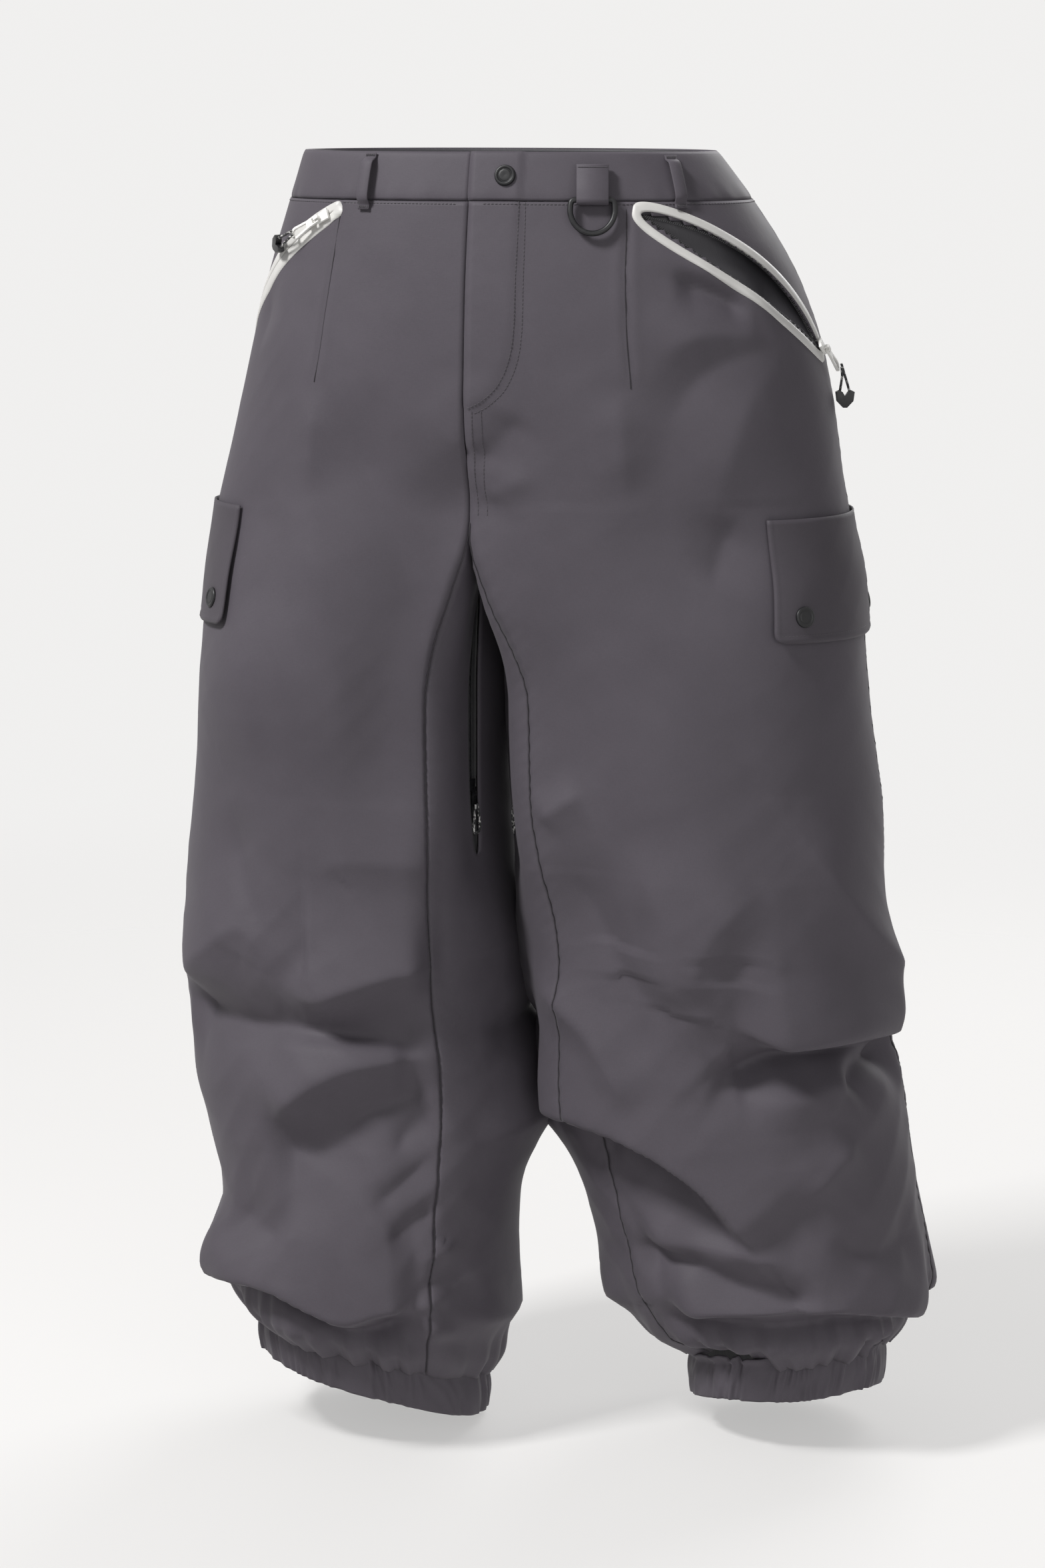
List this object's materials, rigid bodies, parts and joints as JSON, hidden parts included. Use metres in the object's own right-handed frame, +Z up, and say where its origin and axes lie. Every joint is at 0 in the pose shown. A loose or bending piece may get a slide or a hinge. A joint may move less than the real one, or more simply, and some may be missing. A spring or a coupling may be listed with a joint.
{
  "type": "ski pants",
  "caption": "Baggy shell ski pants with a snap and zip fly, belt loops, D-ring, zipped hand pockets, flapped thigh pockets, inner-thigh vents and gathered elastic cuffs.",
  "frame": {"origin": "centre of the waist opening, level with its rim", "axes": "+Z up along the standing body, -Y towards the front, +X to the wearer's left"},
  "size_m": [0.6136, 0.3057, 1.0507],
  "materials": {
    "shell": "matte woven shell",
    "lining": "matte lining and mesh",
    "white_tape": "coated zip tape",
    "dark_tape": "matte tape",
    "hardware": "semi-gloss black",
    "white_metal": "satin off-white coating",
    "cord": "braided, black with pale flecks"
  },
  "bodies": {
    "garment": {"waistband": "shell", "waistband_facing": "lining", "belt_loop_front_right": "shell", "belt_loop_front_left": "shell", "belt_loop_back_right": "shell", "belt_loop_back_left": "shell", "belt_loop_centre_back": "shell", "waist_snap_cap": "hardware", "waist_snap_stud": "hardware", "fly_tape_right": "dark_tape", "fly_tape_left": "dark_tape", "fly_shield": "shell", "d_ring_strap": "shell", "front_panel_right": "shell", "back_panel_right": "shell", "inner_leg_panel_right": "shell", "hand_pocket_tape_right": "white_tape", "hand_pocket_bag_right": "lining", "cargo_snap_stud_front_right": "hardware", "cargo_snap_stud_rear_right": "hardware", "cargo_pocket_bag_right": "lining", "vent_tape_right": "dark_tape", "vent_mesh_right": "lining", "cuff_right": "shell", "cuff_elastic_right": "dark_tape", "front_panel_left": "shell", "back_panel_left": "shell", "inner_leg_panel_left": "shell", "hand_pocket_tape_left": "white_tape", "hand_pocket_bag_left": "lining", "cargo_snap_stud_front_left": "hardware", "cargo_snap_stud_rear_left": "hardware", "cargo_pocket_bag_left": "lining", "vent_tape_left": "dark_tape", "vent_mesh_left": "lining", "cuff_left": "shell", "cuff_elastic_left": "dark_tape"},
    "fly_slider": {"fly_slider": "hardware"},
    "fly_pull": {"fly_pull": "hardware"},
    "d_ring": {"d_ring": "hardware"},
    "hand_pocket_slider_right": {"hand_pocket_slider_right": "white_metal"},
    "hand_pocket_puller_right": {"hand_pocket_puller_right": "white_metal", "hand_pocket_cord_right": "cord", "hand_pocket_cord_tip_right": "hardware"},
    "cargo_flap_right": {"cargo_flap_right": "shell", "cargo_snap_cap_front_right": "hardware", "cargo_snap_cap_rear_right": "hardware"},
    "vent_slider_right": {"vent_slider_right": "hardware"},
    "vent_puller_right": {"vent_puller_right": "hardware", "vent_cord_right": "cord"},
    "hand_pocket_slider_left": {"hand_pocket_slider_left": "white_metal"},
    "hand_pocket_puller_left": {"hand_pocket_puller_left": "white_metal", "hand_pocket_cord_left": "cord", "hand_pocket_cord_tip_left": "hardware"},
    "cargo_flap_left": {"cargo_flap_left": "shell", "cargo_snap_cap_front_left": "hardware", "cargo_snap_cap_rear_left": "hardware"},
    "vent_slider_left": {"vent_slider_left": "hardware"},
    "vent_puller_left": {"vent_puller_left": "hardware", "vent_cord_left": "cord"}
  },
  "joints": [
    {"name": "fly_slider_travel", "type": "slide", "parent": "garment", "child": "fly_slider", "axis": [0, -0.1005, -0.9949], "range_m": [0, 0.134]},
    {"name": "fly_pull_swing", "type": "hinge", "parent": "fly_slider", "child": "fly_pull", "pos_m": [0.02, -0.10686, -0.04664], "axis": [-1, 0, 0], "range_deg": [0, 15]},
    {"name": "d_ring_swing", "type": "hinge", "parent": "garment", "child": "d_ring", "pos_m": [0.09766, -0.10689, -0.03667], "axis": [-0.9692, -0.2462, 0], "range_deg": [0, 135]},
    {"name": "hand_pocket_slider_right_travel", "type": "hinge", "parent": "garment", "child": "hand_pocket_slider_right", "pos_m": [-0.02508, 0.03503, -0.15614], "axis": [0.1361, -0.6891, -0.7118], "range_deg": [0, 44]},
    {"name": "hand_pocket_slider_left_travel", "type": "hinge", "parent": "garment", "child": "hand_pocket_slider_left", "pos_m": [0.07252, 0.04134, -0.16998], "axis": [-0.1047, -0.6876, -0.7185], "range_deg": [0, 52]},
    {"name": "hand_pocket_puller_right_swing", "type": "hinge", "parent": "hand_pocket_slider_right", "child": "hand_pocket_puller_right", "pos_m": [-0.12964, -0.09396, -0.0532], "axis": [-0.3524, 0.4065, 0.8429], "range_deg": [0, 120]},
    {"name": "hand_pocket_puller_left_swing", "type": "hinge", "parent": "hand_pocket_slider_left", "child": "hand_pocket_puller_left", "pos_m": [0.26286, -0.00185, -0.15449], "axis": [0.1904, -0.6294, -0.7534], "range_deg": [0, 120]},
    {"name": "vent_slider_right_travel", "type": "hinge", "parent": "garment", "child": "vent_slider_right", "pos_m": [1.08795, 0.06612, -0.46712], "axis": [-0.1022, 0.9948, 0.004], "range_deg": [0, 6.8]},
    {"name": "vent_slider_left_travel", "type": "hinge", "parent": "garment", "child": "vent_slider_left", "pos_m": [-2.46691, 0.18749, -0.50642], "axis": [-0.09, -0.9948, -0.0482], "range_deg": [0, 3]},
    {"name": "vent_puller_right_swing", "type": "hinge", "parent": "vent_slider_right", "child": "vent_puller_right", "pos_m": [-0.01507, -0.04807, -0.51317], "axis": [-0.336, -0.9418, -0.005], "range_deg": [0, 15]},
    {"name": "vent_puller_left_swing", "type": "hinge", "parent": "vent_slider_left", "child": "vent_puller_left", "pos_m": [0.01694, -0.03801, -0.51313], "axis": [-0.3835, 0.9229, 0.0338], "range_deg": [0, 15]},
    {"name": "cargo_flap_right_lift", "type": "hinge", "parent": "garment", "child": "cargo_flap_right", "pos_m": [-0.24105, -0.02083, -0.2833], "axis": [-0.182, 0.9833, 0], "range_deg": [0, 150]},
    {"name": "cargo_flap_left_lift", "type": "hinge", "parent": "garment", "child": "cargo_flap_left", "pos_m": [0.28184, -0.02092, -0.2834], "axis": [-0.2088, -0.978, 0], "range_deg": [0, 150]}
  ]
}
